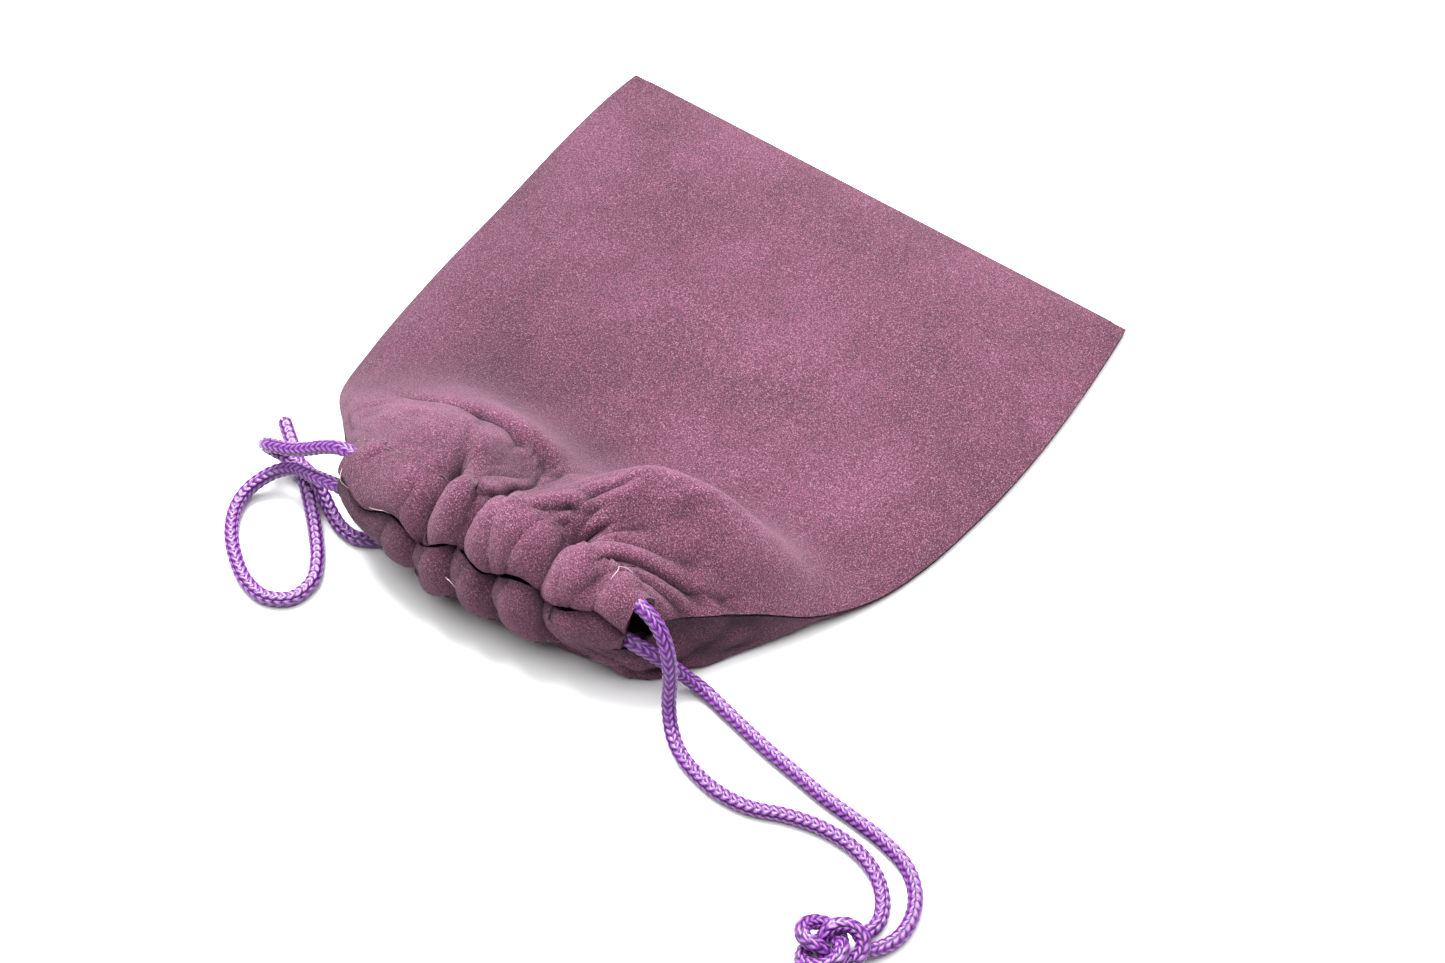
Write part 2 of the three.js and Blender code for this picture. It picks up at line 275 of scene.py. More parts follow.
def braid_material():
    """Satin purple yarn, glossy, with painted shade between the stitches and a painted highlight on their
    crowns.
    """
    material, nodes, links, shader = new_material("braid", 0.34)
    height = nodes.new("ShaderNodeAttribute")
    height.attribute_name = "stitch"
    # Painted shade in the grooves and a painted highlight on the crowns, by the yarn's height.
    base = ramp(nodes, links, height.outputs["Fac"], [
        (0.0, (0.008, 0.001, 0.014)),
        (0.42, (0.042, 0.005, 0.078)),
        (0.80, (0.130, 0.019, 0.205)),
        (1.0, (0.290, 0.095, 0.370)),
    ])
    fibres = noise(nodes, links, 3900, 2, 0.6)
    shade = ramp(nodes, links, fibres, [(0.35, (0.68, 0.62, 0.70)), (0.65, (1.0, 1.0, 1.0))])
    links.new(mix_colour(nodes, links, "MULTIPLY", 0.7, base, shade), shader.inputs["Base Color"])
    shader.inputs["Sheen Weight"].default_value = 0.15
    shader.inputs["Sheen Roughness"].default_value = 0.3
    shader.inputs["Sheen Tint"].default_value = (0.85, 0.6, 1.0, 1)
    shader.inputs["Specular IOR Level"].default_value = 0.6
    bump(nodes, links, shader, fibres, 0.0001, 0.5)
    return material


def thread_material():
    material, nodes, links, shader = new_material("sewing_thread", 0.6)
    fibres = noise(nodes, links, 4000, 2, 0.6)
    links.new(ramp(nodes, links, fibres, [
        (0.35, (0.030, 0.010, 0.019)),
        (0.65, (0.062, 0.022, 0.038)),
    ]), shader.inputs["Base Color"])
    shader.inputs["Sheen Weight"].default_value = 0.3
    return material


def lint_material():
    material, nodes, links, shader = new_material("pale_lint", 0.7)
    fibres = noise(nodes, links, 3000, 2, 0.6)
    links.new(ramp(nodes, links, fibres, [
        (0.35, (0.26, 0.18, 0.20)),
        (0.65, (0.46, 0.36, 0.38)),
    ]), shader.inputs["Base Color"])
    return material


VELOUR = velour_material()
BRAID = braid_material()
THREAD = thread_material()
LINT = lint_material()


# ---------------------------------------------------------------- camera

def make_camera():
    data = bpy.data.cameras.new("camera")
    data.lens = 75
    data.sensor_width = 36
    camera = bpy.data.objects.new("camera", data)
    bpy.context.scene.collection.objects.link(camera)
    azimuth, elevation, distance = math.radians(35.14), math.radians(54), 0.603
    back = Vector((
        math.sin(azimuth) * math.cos(elevation),
        -math.cos(azimuth) * math.cos(elevation),
        math.sin(elevation),
    ))
    aim = Vector((0.0163, -0.0122, 0.0))
    camera.location = aim + back * distance
    camera.rotation_mode = "QUATERNION"
    camera.rotation_quaternion = (-back).to_track_quat("-Z", "Y")
    bpy.context.scene.camera = camera


make_camera()


# ---------------------------------------------------------------- cords

def stitch_height(angle, along):
    """Height of the plaited yarns, 0 in the grooves and 1 on the crowns: columns of V stitches."""
    column = angle / (2 * math.pi) * STITCH_COLUMNS
    across = (column % 1.0) * 2 - 1
    leg = np.abs(across)
    phase = along / STITCH_LENGTH + STITCH_SLANT * leg + 0.5 * (np.floor(column) % 2)
    crown = np.abs(np.sin(math.pi * phase)) ** 0.65
    fall = np.sqrt(np.clip(1 - ((leg - 0.5) / 0.5) ** 4, 0, 1))
    return crown * fall


def braid_surface(line, closed=False):
    """Rings of points round a smooth line in millimetres, and the height of the yarn at each."""
    _, first, second = moving_frames(line, closed)
    steps = np.linalg.norm(np.diff(line, axis=0), axis=1)
    along = np.r_[0, np.cumsum(steps)]
    if closed:
        total = along[-1] + np.linalg.norm(line[0] - line[-1])
        along = along * (round(total / STITCH_LENGTH) * STITCH_LENGTH / total)
    angle = 2 * math.pi * np.arange(BRAID_SIDES) / BRAID_SIDES
    height = stitch_height(angle[None, :], along[:, None])
    radius = CORD_DIAMETER / 2 - STITCH_DEPTH * (1 - height)
    if not closed:
        from_end = np.minimum(along, along[-1] - along)
        radius = radius * np.clip(np.sqrt(np.clip(from_end / END_TAPER, 0, 1)), 0.35, 1)[:, None]
    ring = np.cos(angle)[None, :, None] * first[:, None] + np.sin(angle)[None, :, None] * second[:, None]
    return line[:, None] + ring * radius[:, :, None], height


def braid_piece(name, points, height, closed=False):
    """One mesh through the rings of points, with the height of the yarn kept for its material."""
    rows = len(points)
    faces = []
    for j in range(rows if closed else rows - 1):
        here, there = j * BRAID_SIDES, ((j + 1) % rows) * BRAID_SIDES
        for i in range(BRAID_SIDES):
            k = (i + 1) % BRAID_SIDES
            faces.append((here + i, here + k, there + k, there + i))
    if not closed:
        faces.append(tuple(range(BRAID_SIDES))[::-1])
        faces.append(tuple((rows - 1) * BRAID_SIDES + i for i in range(BRAID_SIDES)))
    piece = mesh_object(name, points.reshape(-1, 3), faces, BRAID)
    crowns = piece.data.attributes.new("stitch", "FLOAT", "POINT")
    crowns.data.foreach_set("value", height.reshape(-1).astype(np.float32))
    return piece


def braided_tube(name, line, closed=False):
    """A cord of plump V stitches round a smooth line of points in millimetres."""
    return braid_piece(name, *braid_surface(line, closed), closed)


RIGHT_LANES = ((-58.25, 23.8), (-60.75, 14.0))
LEFT_LANES = ((-61.75, 23.8), (-64.25, 14.0))
RIGHT_EXIT_X = 22.8
LEFT_EXIT_X = -29.8

ROUTES = {
    "right_strand_front": [
        (RIGHT_EXIT_X, *RIGHT_LANES[0]), (27, -58.2, 23.8), (31, -58.4, 23.5), (35, -59.2, 21.4),
        (38, -60.6, 17), (39.5, -62.2, 11.5), (40.4, -64, 6.2), (42.6, -66.3, 2.8),
        (45.4, -68.4, 1.7), (49.4, -70.3, ON_TABLE), (56.9, -71.9, ON_TABLE), (63.8, -71.3, ON_TABLE),
        (70.5, -68.7, ON_TABLE), (77.5, -67.1, ON_TABLE), (84.9, -67.3, ON_TABLE), (90.9, -69.6, ON_TABLE),
        (94.9, -73.4, ON_TABLE), (96.6, -77.4, 1.6), (96.2, -80.3, 1.9), (95.0, -83.2, 3.2),
    ],
    "right_strand_back": [
        (RIGHT_EXIT_X, *RIGHT_LANES[1]), (27, -60.8, 14), (30.5, -60.5, 13.6), (33.8, -59.3, 11.2),
        (36.3, -57.6, 7.6), (38.9, -56.1, 4), (42.6, -55.5, 1.9), (49.9, -57, ON_TABLE),
        (58.4, -58.9, ON_TABLE), (66.7, -60.3, ON_TABLE), (74, -61.5, ON_TABLE), (81.1, -62.1, ON_TABLE),
        (88.3, -63, ON_TABLE), (94.6, -65, ON_TABLE), (98.8, -68.6, ON_TABLE), (101, -73.2, ON_TABLE),
        (101.2, -78.1, 1.7), (99.4, -82.3, 2.1), (97.2, -84.8, 3.4),
    ],
    "left_strand_loop": [
        (LEFT_EXIT_X, *LEFT_LANES[1]), (-34, -64.3, 14), (-38.3, -64.3, 13.8), (-42.6, -64.2, 12.5),
        (-46.8, -63.6, 10.4), (-50.8, -63.1, 8.5), (-54.4, -64.2, 6.4), (-57.2, -66.8, 4.2),
        (-58.7, -70.2, 2.4), (-58.1, -74.3, 1.6), (-55.2, -78.9, ON_TABLE), (-50.7, -83, ON_TABLE),
        (-45.2, -86.2, ON_TABLE), (-39.8, -86.9, ON_TABLE), (-35.4, -84.1, ON_TABLE), (-34.6, -79, ON_TABLE),
        (-37.2, -74.2, ON_TABLE), (-41.3, -69.8, ON_TABLE), (-45.7, -65.7, ON_TABLE),
        (-50.2, -61.9, ON_TABLE), (-55, -58.3, ON_TABLE), (-59.9, -54.9, ON_TABLE), (-65, -51.3, ON_TABLE),
    ],
    "left_strand_short": [
        (LEFT_EXIT_X, *LEFT_LANES[0]), (-34, -61.8, 23.8), (-38.3, -61.8, 23.3), (-42.5, -62.1, 21),
        (-46.6, -62.8, 18), (-50.5, -63.3, 15.3), (-54.4, -63.5, 13.4), (-57.7, -63.2, 11.3),
        (-59.3, -61.9, 8.2), (-57.8, -60.4, 5.3), (-54.4, -60, 4.8), (-51, -60.4, 4.9),
        (-47.8, -61.3, 4.6), (-44.7, -62.7, 3), (-41.5, -64.3, 1.8), (-38, -65.7, ON_TABLE),
        (-34.2, -65.9, ON_TABLE), (-30.6, -63.9, ON_TABLE), (-27.6, -60.8, ON_TABLE),
    ],
    "right_tail_front": [
        (94.9, -90.8, 3.4), (96.4, -93.4, 2.3), (98.4, -97, ON_TABLE), (100, -101, ON_TABLE),
        (100.6, -106, ON_TABLE),
    ],
    "right_tail_back": [
        (91.0, -91.6, 3.4), (90.6, -94.4, 2.3), (90.4, -98, ON_TABLE), (91.6, -102.5, ON_TABLE),
        (94, -107, ON_TABLE),
    ],
}
# The cord inside the casing that each strand's lead stands for.
HIDDEN_CORD = {
    "right_strand_front": ["right_cord_front_run", "right_cord_bight"],
    "right_strand_back": ["right_cord_back_run"],
    "left_strand_loop": ["left_cord_back_run", "left_cord_bight"],
    "left_strand_short": ["left_cord_front_run"],
}


# Each lead lies straight along its CAD lane, so that it slides out of the mouth without swinging.
LEAD_LENGTH = 12
LEAD_STEPS = 3


def lead_points(name):
    """Points of the hidden lead behind a strand, from deep inside up to just before its exit."""
    x, y, z = ROUTES[name][0]
    inward = -1 if name.startswith("right") else 1
    return [(x + inward * LEAD_LENGTH * step / LEAD_STEPS, y, z) for step in range(LEAD_STEPS, 0, -1)]


def make_strand(name, body):
    """The free strand from its exit on, and the lead behind it that slides out when it is pulled."""
    line, _ = smooth_path(lead_points(name) + ROUTES[name], BRAID_STEP)
    points, height = braid_surface(line)
    exit_row = int(np.argmin(np.linalg.norm(line - np.array(ROUTES[name][0]), axis=1)))
    lead = braid_piece(name + "_lead", points[:exit_row + 1], height[:exit_row + 1])
    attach(lead, body)
    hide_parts(*HIDDEN_CORD[name])
    piece = braid_piece(name + "_braid", points[exit_row:], height[exit_row:])
    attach(piece, body)
    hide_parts(name)
    return piece


def make_knot():
    """An overhand knot: the cord passes twice round and through itself."""
    turn = np.linspace(0, 2 * math.pi, KNOT_POINTS, endpoint=False)
    radius = 3.3 + 1.75 * np.cos(3 * turn)
    line = np.stack([
        radius * np.cos(2 * turn) * KNOT_STRETCH,
        radius * np.sin(2 * turn),
        KNOT_RISE * np.sin(3 * turn),
    ], axis=1)
    lean = math.radians(KNOT_LEAN)
    turned = line.copy()
    turned[:, 0] = line[:, 0] * math.cos(lean) - line[:, 1] * math.sin(lean)
    turned[:, 1] = line[:, 0] * math.sin(lean) + line[:, 1] * math.cos(lean)
    low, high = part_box("right_knot")
    centre = np.array([(a + b) / 2 / MM for a, b in zip(low, high)])
    piece = braided_tube("right_knot_braid", turned + centre, closed=True)
    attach(piece, "right_drawstring")
    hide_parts("right_knot")
    return piece


def make_tail(name):
    """One loose end of the cord below the knot."""
    line, _ = smooth_path(ROUTES[name], BRAID_STEP)
    piece = braided_tube(name + "_braid", line)
    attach(piece, "right_drawstring")
    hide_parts(name)
    return piece


knot_pieces = [make_knot(), make_tail("right_tail_front"), make_tail("right_tail_back")]
make_strand("right_strand_front", "right_drawstring")
make_strand("right_strand_back", "right_drawstring")
make_strand("left_strand_loop", "left_drawstring")
make_strand("left_strand_short", "left_drawstring")


# ---------------------------------------------------------------- cloth

ACROSS = np.linspace(0, CLOTH_WIDTH, COLUMNS)
ALONG = np.linspace(0, CLOTH_LENGTH, ROWS)
FINE_ACROSS = np.linspace(0, CLOTH_WIDTH, 2 * COLUMNS - 1)
FINE_ALONG = np.linspace(0, CLOTH_LENGTH, 2 * ROWS - 1)

# Each seam by distance along the cloth from the bottom seam.
LEFT_SEAM = [
    (0, (-62.9, 67, 1.2)), (6, (-63.5, 61, 1.2)), (50, (-63.5, 17, 1.2)), (71, (-63.2, -4, 1.2)),
    (94, (-61.6, -27, 1.2)), (107, (-59.3, -39.5, 1.8)), (120, (-50.7, -48.4, 8)),
    (134, (-41.3, -57, 15.5)), (142, (-36, -62, 19)), (150, (-32, -67.5, 21)),
]
RIGHT_SEAM = [
    (0, (62.9, 67, 1.2)), (6, (63.5, 61, 1.2)), (60, (63.6, 7, 1.2)), (75, (61.2, -8, 1.2)),
    (87, (57.8, -19, 1.6)), (99, (52.2, -29.5, 4)), (115, (43.2, -40.8, 10.5)),
    (134, (31.7, -54.5, 15.5)), (142, (28, -60, 17)), (150, (26, -66.5, 19)),
]
# Where the drawstrings gather each panel, by share of the way across the mouth.
FRONT_CORD_LINE = [
    (0, (-36, -61.7, 22.6)), (0.17, (-27, -62, 24)), (0.33, (-16.3, -62, 26)), (0.5, (-5, -60.2, 27)),
    (0.66, (6, -60, 26.5)), (0.82, (17.5, -59.2, 25)), (1, (29.4, -58.4, 23.4)),
]
BACK_CORD_LINE = [
    (0, (-35.5, -64.2, 14.6)), (0.17, (-25.5, -66.2, 14)), (0.33, (-14.5, -67.5, 12.5)), (0.5, (-3, -67, 12)),
    (0.66, (7, -65.6, 12)), (0.82, (18, -63.3, 13)), (1, (28.5, -60.8, 14.2)),
]
# The closed mouth, where the two hems meet.
MOUTH_LINE = [
    (0, (-36.5, -65.2, 18.6)), (0.17, (-27, -67.2, 19.2)), (0.33, (-16.3, -67.8, 19.8)),
    (0.5, (-5, -66.6, 20)),
    (0.66, (6, -65.6, 19.8)), (0.82, (17.5, -63.6, 19.3)), (1, (29, -60.8, 18)),
]
# The gathers: cloth distance, share of the way across the mouth, height of the fold.
FRONT_FOLDS = [
    (0, 0, 0), (14, 0.16, 1.6), (28, 0.33, 1.6), (35, 0.355, -7.5), (42, 0.40, 1), (47, 0.435, 3.4),
    (52, 0.47, 1), (59, 0.49, -9), (66, 0.52, 1), (75, 0.60, 4.4), (84, 0.685, 3.4), (90, 0.73, -1.5),
    (96, 0.745, -7.5), (102, 0.77, 0.5), (109, 0.83, 2.2), (115, 0.87, -1.2), (121, 0.94, 1.2), (127, 1, 0),
]
BACK_FOLDS = [
    (0, 0, 0), (13, 0.16, 1), (26, 0.30, 1.4), (33, 0.33, -5.5), (40, 0.37, 1.4), (47, 0.43, 2.4),
    (53, 0.455, -6), (60, 0.49, 1.5), (68, 0.56, 2.8), (76, 0.60, -5), (83, 0.635, 1.5), (91, 0.70, 3.2),
    (98, 0.745, -4.5), (104, 0.79, 1.2), (115, 0.89, 1.6), (127, 1, 0),
]
# Hills and hollows of the neck: cloth place (across, along), then where it lies.
FRONT_SHAPE = [
    (20, 90, -43.4, -23, 4.4), (40, 90, -24.7, -23, 4.6), (60, 90, -6.1, -22.5, 4.2),
    (80, 90, 12.5, -21.5, 4.4), (100, 90, 30.5, -20, 4.4), (115, 90, 44.5, -20, 3.8),
    (20, 100, -43, -31.5, 7.5), (40, 100, -24.5, -30.5, 11.5), (57, 100, -8, -30.5, 10),
    (72, 100, 5, -30, 7.5),
    (85, 100, 14.5, -28.5, 12), (100, 100, 28, -26, 13.5), (112, 100, 38, -24.5, 10.5),
    (120, 100, 46.5, -26, 7),
    (6, 110, -53.5, -40.5, 6.5), (20, 110, -37, -37.5, 14), (31, 110, -26.2, -36.3, 20),
    (43, 110, -15.7, -35, 21.5), (57, 110, -6.4, -35, 18.5), (71, 110, 2, -37, 15.5),
    (80, 110, 8, -36.5, 22.5),
    (92, 110, 15, -32.5, 28.5), (106, 110, 27.5, -30, 27), (115, 110, 36.5, -29.3, 20.5),
    (121, 110, 43, -33, 13),
    (8, 118, -47.5, -45, 12.5), (18, 118, -35, -41.5, 16), (32, 118, -23, -40.5, 18.5),
    (42, 118, -14.5, -40.5, 20), (54, 118, -8, -40.5, 16.5), (68, 118, 0, -42, 18.5),
    (80, 118, 7.5, -42.5, 27),
    (92, 118, 15, -38.5, 30), (106, 118, 25.5, -37.5, 26.5), (118, 118, 36.5, -41.5, 15.5),
    (8, 126, -43, -50, 15.5), (15, 126, -34.5, -46, 22), (30, 126, -21, -45.5, 28), (39, 126, -14, -46, 28.5),
    (50, 126, -8.5, -47, 21), (62, 126, -3, -49, 20), (75, 126, 4, -48.5, 27.5), (90, 126, 12.5, -47, 28.5),
    (106, 126, 23, -46.5, 25.5), (118, 126, 31.5, -48.5, 18.5),
]
BACK_SHAPE = [
    (20, 90, -43.4, -23, 0.6), (45, 90, -20, -23, 0.6), (70, 90, 3, -23, 0.6), (95, 90, 26, -23, 0.6),
    (115, 90, 44.5, -22.5, 0.6),
    (10, 105, -51.5, -37.5, 0.7), (30, 105, -32, -38.5, 0.6), (60, 105, -6, -38.5, 0.6),
    (90, 105, 22, -38.5, 0.6), (112, 105, 42.5, -38, 0.7), (121, 105, 48.2, -36.3, 1.3),
    (8, 118, -46.5, -47.5, 2.5), (25, 118, -30.5, -51, 0.8), (45, 118, -14, -51.5, 0.6),
    (65, 118, 1, -51.5, 0.6),
    (85, 118, 15, -51, 0.6), (105, 118, 32, -50.5, 0.7), (115, 118, 39.3, -48.3, 1.0),
    (8, 128, -41.5, -53.5, 6), (25, 128, -26.5, -60.5, 1.6), (45, 128, -12.5, -61.5, 0.9),
    (65, 128, 0, -61.5, 0.8),
    (85, 128, 12.5, -61, 0.8), (105, 128, 27, -60, 0.9), (115, 128, 33.5, -57.2, 1.5),
    (10, 135, -37.5, -60, 10), (30, 135, -22.5, -66, 6), (50, 135, -9, -67, 5), (70, 135, 2.5, -66, 5),
    (90, 135, 13.5, -64.5, 5.5), (108, 135, 25, -62.6, 6), (120, 135, 31, -59.8, 8),
]
FLAT_ROW = 70.0
CASING_ROW = 135.0
HEM_FOLD = 0.3
MOUTH_WAVES = 4.6
MOUTH_WAVE = 1.3


def thin_plate(places, values, at):
    """The smoothest surface through the values at the places, read at other places."""
    def kernel(a, b):
        square = ((a[:, None] - b[None]) ** 2).sum(2)
        return 0.5 * square * np.log(square + 1e-9)

    places, at = places / 50, at / 50
    count = len(places)
    edge = np.c_[np.ones(count), places]
    system = np.zeros((count + 3, count + 3))
    system[:count, :count] = kernel(places, places) + 1e-5 * np.eye(count)
    system[:count, count:] = edge
    system[count:, :count] = edge.T
    weights = np.linalg.solve(system, np.vstack([values, np.zeros((3, values.shape[1]))]))
    return kernel(at, places) @ weights[:count] + np.c_[np.ones(len(at)), at] @ weights[count:]


def flat_body(across, along, front):
    """The part that lies flat: between the side seams, the front a little crowned over the back."""
    left, right = spline_rows(LEFT_SEAM, along), spline_rows(RIGHT_SEAM, along)
    share = (across / CLOTH_WIDTH)[:, None]
    point = left * (1 - share) + right * share
    edge = np.minimum(across, CLOTH_WIDTH - across)
    crown = (1 - np.exp(-edge / 9.0)) * (1 - np.exp(-along / 11.0))
    point[:, 2] = point[:, 2] + 3.4 * crown if front else np.maximum(point[:, 2] - 0.25 - crown, 0.6)
    return point


def panel_grid(front):
    """Where every point of one panel's cloth starts before it is settled, row by row from the bottom seam."""
    folds = FRONT_FOLDS if front else BACK_FOLDS
    rise = np.array((0, -0.15, 0.99) if front else (0, -0.9, 0.35))
    share = spline_rows([row[:2] for row in folds], ACROSS)[:, 0]
    height = spline_rows([(row[0], row[2]) for row in folds], ACROSS)[:, 0]
    gathered = spline_rows(FRONT_CORD_LINE if front else BACK_CORD_LINE, share) + height[:, None] * rise
    places, values = [], []
    body_columns = np.linspace(0, CLOTH_WIDTH, 14)
    for row in (FLAT_ROW - 8, FLAT_ROW - 4, FLAT_ROW):
        places += [(u, row) for u in body_columns]
        values += list(flat_body(body_columns, np.full(14, row), front))
    for seam, u in ((LEFT_SEAM, 0), (RIGHT_SEAM, CLOTH_WIDTH)):
        rows = np.arange(FLAT_ROW + 6, SLIT_ROW + 1, 5)
        places += [(u, row) for row in rows]
        values += list(spline_rows(seam, rows))
    places += [(u, CORD_ROW) for u in ACROSS]
    values += list(gathered)
    if front:
        inner = ACROSS[3:-3:2]
        places += [(u, CASING_ROW) for u in inner]
        values += list((gathered + (0, 5.2, 0.9) - 0.25 * height[:, None] * rise)[3:-3:2])
    for u, row, *point in FRONT_SHAPE if front else BACK_SHAPE:
        places.append((u, row))
        values.append(point)
    grid = np.zeros((ROWS, COLUMNS, 3))
    for j, row in enumerate(ALONG):
        if row < FLAT_ROW:
            grid[j] = flat_body(ACROSS, np.full(COLUMNS, row), front)
        elif row <= CORD_ROW:
            here = np.c_[ACROSS, np.full(COLUMNS, row)]
            grid[j] = thin_plate(np.array(places, float), np.array(values, float), here)
        else:
            past = (row - CORD_ROW) / (CLOTH_LENGTH - CORD_ROW)
            edge = spline_rows(MOUTH_LINE, share) + HEM_FOLD * height[:, None] * rise
            edge = edge + np.array((0, 0.1, 0.1) if front else (0, 0.3, -0.1))
            wave = np.sin(share * 2 * math.pi * MOUTH_WAVES + 0.6)[:, None] * MOUTH_WAVE
            edge = edge + wave * np.array((0, 0.5, 0.85))
            bulge = math.sin(math.pi * past) * np.array((0, -0.7, 0.7) if front else (0, -1.0, 0.1))
            grid[j] = gathered * (1 - past) + edge * past + bulge
    for i, seam in ((0, LEFT_SEAM), (COLUMNS - 1, RIGHT_SEAM)):
        shared = ALONG <= SLIT_ROW
        grid[shared, i] = spline_rows(seam, ALONG[shared])
    grid[0, :, 2] = 1.2
    return grid


def pin_weight(row, column):
    """How firmly the settling cloth is held to where it starts: 1 not at all free, 0 free."""
    along = ALONG[row]
    if along <= FLAT_ROW or along > CORD_ROW - 1.1 or column in (0, COLUMNS - 1):
        return 1.0
    return max(0.5, 0.9 - (along - FLAT_ROW) / 60)


def settle(front, back):
    """Let the gathered cloth settle: both panels, joined at their seams, simulated and then applied."""
    index, start, flat, pins = {}, [], [], []
    for layer, grid in enumerate((front, back)):
        for j in range(ROWS):
            for i in range(COLUMNS):
                joined = j == 0 or (i in (0, COLUMNS - 1) and ALONG[j] <= SLIT_ROW)
                if joined and layer:
                    index[layer, j, i] = index[0, j, i]
                    continue
                index[layer, j, i] = len(start)
                start.append(grid[j, i])
                apart = 0 if joined else 0.4 - 0.8 * layer
                flat.append((ACROSS[i] - CLOTH_WIDTH / 2, BOTTOM_SEAM_Y - ALONG[j], apart))
                pins.append(pin_weight(j, i))
    faces = []
    for layer in range(2):
        for j in range(ROWS - 1):
            for i in range(COLUMNS - 1):
                corners = [(j, i), (j, i + 1), (j + 1, i + 1), (j + 1, i)]
                face = [index[layer, a, b] for a, b in corners]
                faces.append(face if layer else face[::-1])
    mesh = bpy.data.meshes.new("settling")
    mesh.from_pydata((np.array(start) * SIM_SCALE).tolist(), [], faces)
    cloth = bpy.data.objects.new("settling", mesh)
    bpy.context.scene.collection.objects.link(cloth)
    cloth.shape_key_add(name="start")
    cut = cloth.shape_key_add(name="cut")
    cut.data.foreach_set("co", (np.array(flat) * SIM_SCALE).ravel())
    cut.value = 0
    group = cloth.vertex_groups.new(name="pin")
    for k, weight in enumerate(pins):
        group.add([k], weight, "REPLACE")
    modifier = cloth.modifiers.new("settling", "CLOTH")
    for name, value in {
        "quality": 7, "mass": 0.25, "air_damping": 4,
        "tension_stiffness": 25, "compression_stiffness": 25, "shear_stiffness": 8, "bending_stiffness": 3,
        "tension_damping": 10, "compression_damping": 10, "shear_damping": 5, "bending_damping": 4,
        "vertex_group_mass": "pin", "pin_stiffness": 6.0, "rest_shape_key": cut,
    }.items():
        setattr(modifier.settings, name, value)
    for name, value in {
        "use_collision": True, "distance_min": 0.05, "use_self_collision": True,
        "self_distance_min": 0.09, "self_friction": 5, "collision_quality": 3,
    }.items():
        setattr(modifier.collision_settings, name, value)
    bpy.ops.mesh.primitive_plane_add(size=60, location=(0, 0, 0))
    ground = bpy.context.object
    ground.modifiers.new("ground", "COLLISION")
    ground.collision.thickness_outer = 0.03
    ground.collision.cloth_friction = 20
    scene = bpy.context.scene
    scene.frame_start, scene.frame_end = 1, SIM_FRAMES
    modifier.point_cache.frame_start, modifier.point_cache.frame_end = 1, SIM_FRAMES
    for step in range(1, SIM_FRAMES + 1):
        scene.frame_set(step)
    settled = cloth.evaluated_get(bpy.context.evaluated_depsgraph_get())
    points = np.array([vertex.co for vertex in settled.data.vertices]) / SIM_SCALE
    for spare in (cloth, ground):
        bpy.data.objects.remove(spare)
    scene.frame_set(1)
    order = [[[index[layer, j, i] for i in range(COLUMNS)] for j in range(ROWS)] for layer in range(2)]
    return points[np.array(order[0])], points[np.array(order[1])]


# Creases that run from the gathers into the neck: place across the cloth at the cord, lean, depth, reach.
FRONT_CREASES = [
    (25, 0.2, 0.8, 9), (35, -0.1, 1.7, 24), (42, 0.25, 1.2, 9), (50, -0.3, 1.5, 13),
    (58.5, 0.05, 1.9, 26), (66, 0.45, 1.4, 9), (72, -0.35, 1.6, 15), (81, 0.3, 1.5, 17),
    (89, -0.2, 1.5, 12), (96, 0.45, 1.9, 24), (104, -0.25, 1.2, 9), (112, 0.5, 1.3, 18), (119, 0.3, 0.8, 12),
]
BACK_CREASES = [
    (19, -0.2, 0.9, 11), (33, 0.1, 1.6, 15), (41, -0.1, 0.9, 8), (53, 0.15, 1.6, 16),
    (61, -0.3, 1.0, 8), (69, 0.1, 1.0, 9), (76, 0.25, 1.6, 15), (84, -0.1, 1.0, 8), (98, 0.5, 1.8, 24),
    (108, 0.7, 1.2, 20),
]
CREASE_WIDTH = 1.5
FOLD_REACH = 14
# Painted shade added to the back panel's colour under the mouth.
UNDERSIDE_SHADE = 0.65
FOLD_DEEP = 0.7


def crease_depth(creases):
    """How far the cloth is pulled in at every point: sharp valleys that fade with distance from the cord."""
    depth = np.zeros((len(FINE_ALONG), len(FINE_ACROSS)))
    from_cord = CORD_ROW - FINE_ALONG[:, None]
    for place, lean, deep, reach in creases:
        off = np.abs(FINE_ACROSS[None, :] - place - lean * from_cord)
        width = CREASE_WIDTH * (1 + np.clip(from_cord, 0, None) / 14)
        fade = np.exp(-np.clip(from_cord, 0, None) / reach) * np.clip((from_cord + 11) / 8, 0, 1)
        depth += deep * fade * np.exp(-off / width)
    return depth


# This depth drives the velour's painted shade in folds and painted highlight on crests.
def fold_depth(grid, normal):
    """How far each point's surroundings stand above it: 1 deep in a fold, -1 on a sharp crest."""
    wide = grid
    for _ in range(FOLD_REACH):
        wide = np.pad(wide, ((1, 1), (1, 1), (0, 0)), mode="edge")
        wide = (wide[:-2, 1:-1] + wide[2:, 1:-1] + wide[1:-1, :-2] + wide[1:-1, 2:]) / 4
    return np.clip(((wide - grid) * normal).sum(2) / FOLD_DEEP, -1, 1)


def soften(grid, rounds):
    """Smooth fine ripples out of the body and leave the gathers."""
    along = np.linspace(0, CLOTH_LENGTH, len(grid))
    hold = np.clip((along - 96) / 20, 0, 1)[1:-1, None, None]
    hold = 0.12 + 0.88 * (1 - hold)
    for _ in range(rounds):
        middle = grid[1:-1, 1:-1]
        around = (grid[:-2, 1:-1] + grid[2:, 1:-1] + grid[1:-1, :-2] + grid[1:-1, 2:]) / 4
        grid[1:-1, 1:-1] = middle + 0.6 * hold * (around - middle)
    return grid


